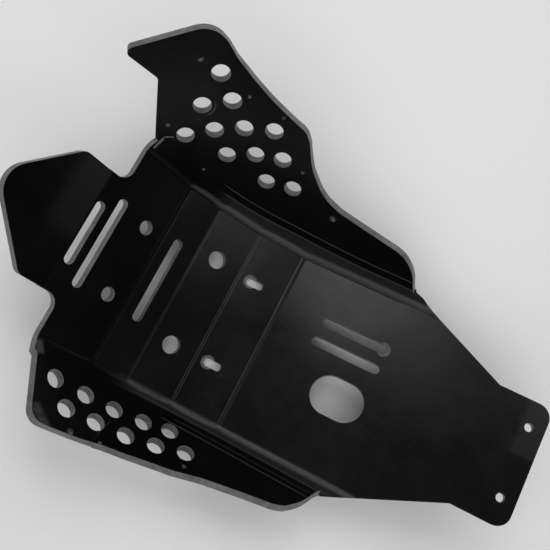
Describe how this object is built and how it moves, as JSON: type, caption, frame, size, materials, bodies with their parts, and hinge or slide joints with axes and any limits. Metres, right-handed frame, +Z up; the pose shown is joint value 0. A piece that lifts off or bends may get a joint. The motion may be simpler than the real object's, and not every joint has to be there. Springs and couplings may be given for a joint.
{
  "type": "motorcycle skid plate",
  "caption": "One-piece formed plastic skid plate with cross bends, two side wings with round vents, slots and a long tapered tail that covers the rear linkage",
  "frame": {"origin": "middle of the outer face of the flat base panel, which lies on z = 0", "axes": "+X runs back to the tail along the longest extent, +Y points to the side of the large wing, +Z is up, square to the base panel"},
  "size_m": [0.5337, 0.352, 0.1783],
  "materials": {
    "black_plastic": "satin black polyethylene with light scuffs"
  },
  "bodies": {
    "root": {"skid_plate": "black_plastic"}
  },
  "joints": []
}
